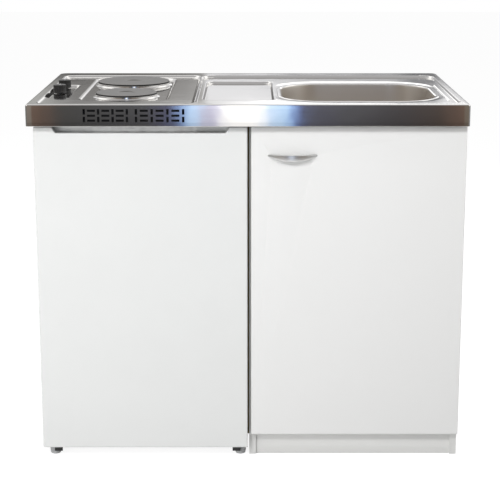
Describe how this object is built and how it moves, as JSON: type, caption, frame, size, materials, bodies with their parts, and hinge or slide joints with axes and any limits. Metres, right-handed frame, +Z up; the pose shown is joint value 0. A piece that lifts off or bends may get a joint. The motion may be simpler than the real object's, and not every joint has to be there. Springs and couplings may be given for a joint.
{
  "type": "kitchenette unit with sink and hob",
  "caption": "Compact kitchen unit: pressed steel worktop with sink bowl, drainer and hotplates over a small fridge and a base cabinet with a hinged door.",
  "frame": {"origin": "middle of the footprint on the floor", "axes": "+X to the right along the worktop, seen from the front; +Y from the front to the wall; +Z up"},
  "size_m": [1, 0.6, 0.863],
  "materials": {
    "polished_steel": "polished stainless sheet",
    "cast_iron": "grey-coated casting",
    "zinc_steel": "zinc plated",
    "black_steel": "black enamel",
    "white_enamel": "satin enamel",
    "white_board": "white melamine on chipboard",
    "hardboard": "painted hardboard",
    "raw_wood": "sawn spruce",
    "white_plastic": "moulded",
    "grey_plastic": "moulded",
    "black_plastic": "moulded",
    "clear_plastic": "clear styrene",
    "shelf_glass": "toughened glass",
    "foam": "rigid foam, sealed inside",
    "gasket_rubber": "soft profile",
    "aluminium": "rolled sheet",
    "satin_chrome": "satin"
  },
  "bodies": {
    "root": {"worktop": "polished_steel", "sink_bowl": "polished_steel", "waste_flange": "polished_steel", "waste_body": "white_plastic", "bottle_trap": "white_plastic", "trap_outlet": "white_plastic", "trap_nuts": "white_plastic", "hotplate_front": "cast_iron", "hotplate_rear": "cast_iron", "spill_rings": "polished_steel", "hotplate_clamps": "zinc_steel", "switch_bracket": "zinc_steel", "hob_switches": "black_plastic", "hob_pan": "black_steel", "terminal_block": "black_plastic", "cable_gland": "black_plastic", "support_battens": "raw_wood", "fridge_casing": "white_enamel", "fridge_foam": "foam", "fridge_liner": "white_plastic", "glass_shelves": "shelf_glass", "crisper_cover": "shelf_glass", "crisper_bin": "clear_plastic", "evaporator_plate": "aluminium", "thermostat_housing": "white_plastic", "compressor_carrier": "zinc_steel", "compressor": "black_steel", "drip_tray": "black_plastic", "condenser_coil": "black_steel", "top_hinge": "zinc_steel", "base_brackets": "black_steel", "rear_feet": "grey_plastic", "side_panel_left": "white_board", "side_panel_right": "white_board", "bottom_panel": "white_board", "plinth": "white_board", "front_rail": "white_board", "rear_rail": "white_board", "back_panel": "hardboard", "shelf": "white_board", "shelf_pins": "zinc_steel", "hinge_arms": "zinc_steel"},
    "strainer": {"strainer_basket": "polished_steel"},
    "knob_front": {"knob_front": "black_plastic", "spindle_front": "zinc_steel"},
    "knob_rear": {"knob_rear": "black_plastic", "spindle_rear": "zinc_steel"},
    "thermostat": {"thermostat_knob": "grey_plastic"},
    "fridge_door": {"fridge_door_panel": "white_enamel", "fridge_door_foam": "foam", "fridge_door_liner": "white_plastic", "door_gasket": "gasket_rubber", "door_racks": "clear_plastic"},
    "front_foot_left": {"front_foot_left": "grey_plastic"},
    "front_foot_right": {"front_foot_right": "grey_plastic"},
    "hinge_links": {"hinge_links": "zinc_steel"},
    "cabinet_door": {"cabinet_door": "white_board", "door_handle": "satin_chrome", "handle_screws": "zinc_steel", "hinge_cups": "zinc_steel"}
  },
  "joints": [
    {"name": "fridge_door_hinge", "type": "hinge", "parent": "root", "child": "fridge_door", "pos_m": [-0.475, -0.257, 0.41], "axis": [0, 0, -1], "range_deg": [0, 110]},
    {"name": "hinge_link_slide", "type": "slide", "parent": "root", "child": "hinge_links", "axis": [0, -1, 0], "range_m": [0, 0.012]},
    {"name": "cabinet_door_hinge", "type": "hinge", "parent": "hinge_links", "child": "cabinet_door", "pos_m": [0.487, -0.266, 0.42], "axis": [0, 0, 1], "range_deg": [0, 95]},
    {"name": "knob_front_turn", "type": "hinge", "parent": "root", "child": "knob_front", "pos_m": [-0.456, -0.043, 0.85], "axis": [0, 0, -1], "range_deg": [0, 270]},
    {"name": "knob_rear_turn", "type": "hinge", "parent": "root", "child": "knob_rear", "pos_m": [-0.456, 0.051, 0.85], "axis": [0, 0, -1], "range_deg": [0, 270]},
    {"name": "thermostat_turn", "type": "hinge", "parent": "root", "child": "thermostat", "pos_m": [-0.066, -0.1, 0.746], "axis": [0, -1, 0], "range_deg": [0, 240]},
    {"name": "strainer_lift", "type": "slide", "parent": "root", "child": "strainer", "axis": [0, 0, 1], "range_m": [0, 0.06]},
    {"name": "foot_left_turn", "type": "hinge", "parent": "root", "child": "front_foot_left", "pos_m": [-0.462, -0.246, 0.01], "axis": [0, 0, 1], "continuous": true},
    {"name": "foot_right_turn", "type": "hinge", "parent": "root", "child": "front_foot_right", "pos_m": [-0.018, -0.246, 0.01], "axis": [0, 0, 1], "continuous": true}
  ],
  "couplings": [
    {"joint": "hinge_link_slide", "follows": "cabinet_door_hinge", "m_per_rad": 0.007}
  ]
}
